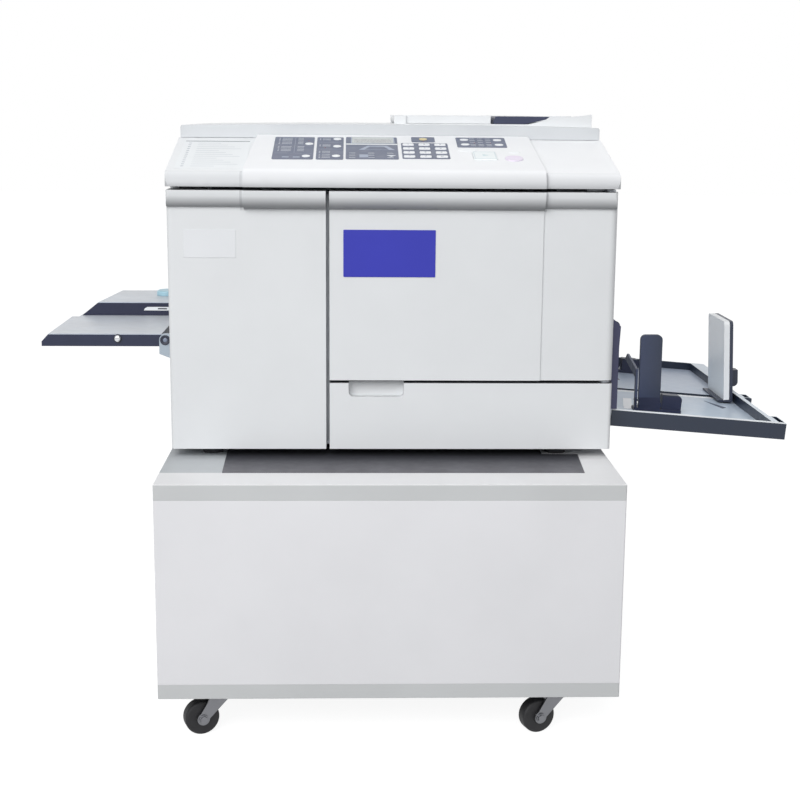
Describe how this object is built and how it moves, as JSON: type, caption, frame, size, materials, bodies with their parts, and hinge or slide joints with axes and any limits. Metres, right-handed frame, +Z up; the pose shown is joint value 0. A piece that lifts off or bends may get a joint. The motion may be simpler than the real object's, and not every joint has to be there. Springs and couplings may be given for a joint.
{
  "type": "digital duplicator",
  "caption": "Floor-standing digital duplicator on a castered cabinet: flatbed scanner lid, keypad, front door, folding feed tray and delivery tray with paper fences.",
  "frame": {"origin": "centre of the whole outline's base, on the floor under the casters", "axes": "+X to the delivery side (right as seen from the front), +Y to the rear, +Z up"},
  "size_m": [1.1272, 0.76, 0.8785],
  "materials": {
    "stand_board": "white laminate",
    "zinc": "zinc plated",
    "caster_black": "satin",
    "foot_rubber": "matte",
    "cover_plastic": "fine texture",
    "fascia_plastic": "fine texture",
    "frame_steel": "satin",
    "inlet_black": "satin",
    "overlay_film": "printed film",
    "key_film": "printed film",
    "scan_glass": "clear",
    "carriage_black": "satin",
    "key_white": "satin",
    "start_key": "satin",
    "stop_key": "satin",
    "feeder_plastic": "fine texture",
    "tray_navy": "moulded",
    "lever_blue": "satin",
    "drum_screen": "fine screen",
    "roller_rubber": "matte"
  },
  "bodies": {
    "machine": {"cabinet_top": "stand_board", "cabinet_bottom": "stand_board", "cabinet_sides": "stand_board", "cabinet_front": "stand_board", "cabinet_back": "stand_board", "caster_plates": "zinc", "feet": "foot_rubber", "base_plate": "frame_steel", "left_side_cover": "cover_plastic", "right_side_cover": "cover_plastic", "rear_cover": "cover_plastic", "left_front_cover": "cover_plastic", "lower_front_cover": "cover_plastic", "front_frame": "frame_steel", "rear_frame": "frame_steel", "power_inlet": "inlet_black", "door_hinges": "frame_steel", "drum_carrier": "frame_steel"},
    "door": {"front_door": "cover_plastic"},
    "scanner_unit": {"scanner_housing": "cover_plastic", "control_fascia": "fascia_plastic", "panel_overlays": "overlay_film", "membrane_keys": "key_film", "platen_glass": "scan_glass"},
    "scan_carriage": {"scan_carriage": "carriage_black"},
    "platen_cover": {"platen_cover": "cover_plastic", "document_ramp": "cover_plastic"},
    "feeder_cover": {"feeder_cover": "feeder_plastic"},
    "feed_tray": {"feed_tray": "tray_navy"},
    "feed_guide": {"feed_guide": "tray_navy"},
    "feed_lever": {"feed_lever": "lever_blue"},
    "output_tray": {"output_tray": "tray_navy"},
    "side_fence_front": {"side_fence_front": "tray_navy"},
    "side_fence_rear": {"side_fence_rear": "tray_navy"},
    "end_fence": {"end_fence": "tray_navy"},
    "print_drum": {"print_drum": "drum_screen"},
    "pressure_roller": {"pressure_roller": "roller_rubber"},
    "feed_roller": {"feed_roller": "roller_rubber"},
    "caster_front_left": {"caster_yoke_front_left": "zinc"},
    "wheel_front_left": {"caster_wheel_front_left": "caster_black"},
    "caster_front_right": {"caster_yoke_front_right": "zinc"},
    "wheel_front_right": {"caster_wheel_front_right": "caster_black"},
    "caster_rear_left": {"caster_yoke_rear_left": "zinc"},
    "wheel_rear_left": {"caster_wheel_rear_left": "caster_black"},
    "caster_rear_right": {"caster_yoke_rear_right": "zinc"},
    "wheel_rear_right": {"caster_wheel_rear_right": "caster_black"},
    "number_key_1": {"number_key_1": "key_white"},
    "number_key_2": {"number_key_2": "key_white"},
    "number_key_3": {"number_key_3": "key_white"},
    "number_key_4": {"number_key_4": "key_white"},
    "number_key_5": {"number_key_5": "key_white"},
    "number_key_6": {"number_key_6": "key_white"},
    "number_key_7": {"number_key_7": "key_white"},
    "number_key_8": {"number_key_8": "key_white"},
    "number_key_9": {"number_key_9": "key_white"},
    "number_key_10": {"number_key_10": "key_white"},
    "number_key_11": {"number_key_11": "key_white"},
    "number_key_12": {"number_key_12": "key_white"},
    "start_key": {"start_key": "start_key"},
    "stop_key": {"stop_key": "stop_key"}
  },
  "joints": [
    {"name": "caster_front_left_swivel", "type": "hinge", "parent": "machine", "child": "caster_front_left", "pos_m": [-0.28566, -0.335, 0.0541], "axis": [0, 0, 1], "continuous": true},
    {"name": "wheel_front_left_roll", "type": "hinge", "parent": "caster_front_left", "child": "wheel_front_left", "pos_m": [-0.31385, -0.34526, 0.025], "axis": [0.342, -0.9397, 0], "continuous": true},
    {"name": "caster_front_right_swivel", "type": "hinge", "parent": "machine", "child": "caster_front_right", "pos_m": [0.19834, -0.335, 0.0541], "axis": [0, 0, 1], "continuous": true},
    {"name": "wheel_front_right_roll", "type": "hinge", "parent": "caster_front_right", "child": "wheel_front_right", "pos_m": [0.17015, -0.34526, 0.025], "axis": [0.342, -0.9397, 0], "continuous": true},
    {"name": "caster_rear_left_swivel", "type": "hinge", "parent": "machine", "child": "caster_rear_left", "pos_m": [-0.28566, 0.295, 0.0541], "axis": [0, 0, 1], "continuous": true},
    {"name": "wheel_rear_left_roll", "type": "hinge", "parent": "caster_rear_left", "child": "wheel_rear_left", "pos_m": [-0.31385, 0.28474, 0.025], "axis": [0.342, -0.9397, 0], "continuous": true},
    {"name": "caster_rear_right_swivel", "type": "hinge", "parent": "machine", "child": "caster_rear_right", "pos_m": [0.19834, 0.295, 0.0541], "axis": [0, 0, 1], "continuous": true},
    {"name": "wheel_rear_right_roll", "type": "hinge", "parent": "caster_rear_right", "child": "wheel_rear_right", "pos_m": [0.17015, 0.28474, 0.025], "axis": [0.342, -0.9397, 0], "continuous": true},
    {"name": "door_hinge", "type": "hinge", "parent": "machine", "child": "door", "pos_m": [0.27534, -0.209, 0.493], "axis": [0, 0, 1], "range_deg": [0, 100]},
    {"name": "scanner_hinge", "type": "hinge", "parent": "machine", "child": "scanner_unit", "pos_m": [-0.03866, 0.36, 0.782], "axis": [-1, 0, 0], "range_deg": [0, 35]},
    {"name": "carriage_slide", "type": "slide", "parent": "scanner_unit", "child": "scan_carriage", "axis": [1, 0, 0], "range_m": [0, 0.43]},
    {"name": "platen_hinge", "type": "hinge", "parent": "scanner_unit", "child": "platen_cover", "pos_m": [-0.03866, 0.368, 0.844], "axis": [-1, 0, 0], "range_deg": [0, 62]},
    {"name": "feeder_hinge", "type": "hinge", "parent": "platen_cover", "child": "feeder_cover", "pos_m": [-0.02616, 0.1175, 0.869], "axis": [0, -1, 0], "range_deg": [0, 95]},
    {"name": "feed_tray_hinge", "type": "hinge", "parent": "machine", "child": "feed_tray", "pos_m": [-0.37766, 0.087, 0.542], "axis": [0, 1, 0], "range_deg": [0, 88]},
    {"name": "feed_guide_slide", "type": "slide", "parent": "feed_tray", "child": "feed_guide", "axis": [0, 1, 0], "range_m": [-0.04, 0.06]},
    {"name": "feed_lever_turn", "type": "hinge", "parent": "feed_guide", "child": "feed_lever", "pos_m": [-0.41216, 0.155, 0.572], "axis": [0, 0, 1], "range_deg": [0, 60]},
    {"name": "output_tray_hinge", "type": "hinge", "parent": "machine", "child": "output_tray", "pos_m": [0.30883, 0.09, 0.42035], "axis": [0, -1, 0], "range_deg": [0, 92]},
    {"name": "side_fence_front_slide", "type": "slide", "parent": "output_tray", "child": "side_fence_front", "axis": [0, 1, 0], "range_m": [-0.015, 0.088]},
    {"name": "side_fence_rear_slide", "type": "slide", "parent": "output_tray", "child": "side_fence_rear", "axis": [0, 1, 0], "range_m": [-0.088, 0.015]},
    {"name": "end_fence_slide", "type": "slide", "parent": "output_tray", "child": "end_fence", "axis": [0.9967, 0, -0.0809], "range_m": [-0.12, 0.002]},
    {"name": "drum_spin", "type": "hinge", "parent": "machine", "child": "print_drum", "pos_m": [0.02134, 0.08, 0.625], "axis": [0, 1, 0], "continuous": true},
    {"name": "pressure_roller_spin", "type": "hinge", "parent": "machine", "child": "pressure_roller", "pos_m": [0.02134, 0.08, 0.5102], "axis": [0, 1, 0], "continuous": true},
    {"name": "feed_roller_spin", "type": "hinge", "parent": "machine", "child": "feed_roller", "pos_m": [-0.30066, 0.09, 0.574], "axis": [0, 1, 0], "continuous": true},
    {"name": "number_key_1_press", "type": "slide", "parent": "scanner_unit", "child": "number_key_1", "axis": [0, 0.2354, -0.9719], "range_m": [0, 0.002], "stiffness_N_per_m": 250},
    {"name": "number_key_2_press", "type": "slide", "parent": "scanner_unit", "child": "number_key_2", "axis": [0, 0.2354, -0.9719], "range_m": [0, 0.002], "stiffness_N_per_m": 250},
    {"name": "number_key_3_press", "type": "slide", "parent": "scanner_unit", "child": "number_key_3", "axis": [0, 0.2354, -0.9719], "range_m": [0, 0.002], "stiffness_N_per_m": 250},
    {"name": "number_key_4_press", "type": "slide", "parent": "scanner_unit", "child": "number_key_4", "axis": [0, 0.2354, -0.9719], "range_m": [0, 0.002], "stiffness_N_per_m": 250},
    {"name": "number_key_5_press", "type": "slide", "parent": "scanner_unit", "child": "number_key_5", "axis": [0, 0.2354, -0.9719], "range_m": [0, 0.002], "stiffness_N_per_m": 250},
    {"name": "number_key_6_press", "type": "slide", "parent": "scanner_unit", "child": "number_key_6", "axis": [0, 0.2354, -0.9719], "range_m": [0, 0.002], "stiffness_N_per_m": 250},
    {"name": "number_key_7_press", "type": "slide", "parent": "scanner_unit", "child": "number_key_7", "axis": [0, 0.2354, -0.9719], "range_m": [0, 0.002], "stiffness_N_per_m": 250},
    {"name": "number_key_8_press", "type": "slide", "parent": "scanner_unit", "child": "number_key_8", "axis": [0, 0.2354, -0.9719], "range_m": [0, 0.002], "stiffness_N_per_m": 250},
    {"name": "number_key_9_press", "type": "slide", "parent": "scanner_unit", "child": "number_key_9", "axis": [0, 0.2354, -0.9719], "range_m": [0, 0.002], "stiffness_N_per_m": 250},
    {"name": "number_key_10_press", "type": "slide", "parent": "scanner_unit", "child": "number_key_10", "axis": [0, 0.2354, -0.9719], "range_m": [0, 0.002], "stiffness_N_per_m": 250},
    {"name": "number_key_11_press", "type": "slide", "parent": "scanner_unit", "child": "number_key_11", "axis": [0, 0.2354, -0.9719], "range_m": [0, 0.002], "stiffness_N_per_m": 250},
    {"name": "number_key_12_press", "type": "slide", "parent": "scanner_unit", "child": "number_key_12", "axis": [0, 0.2354, -0.9719], "range_m": [0, 0.002], "stiffness_N_per_m": 250},
    {"name": "start_key_press", "type": "slide", "parent": "scanner_unit", "child": "start_key", "axis": [0, 0.2354, -0.9719], "range_m": [0, 0.002], "stiffness_N_per_m": 250},
    {"name": "stop_key_press", "type": "slide", "parent": "scanner_unit", "child": "stop_key", "axis": [0, 0.2354, -0.9719], "range_m": [0, 0.002], "stiffness_N_per_m": 250}
  ],
  "couplings": [
    {"joint": "side_fence_rear_slide", "follows": "side_fence_front_slide", "ratio": -1},
    {"joint": "pressure_roller_spin", "follows": "drum_spin", "ratio": -4.1818}
  ]
}
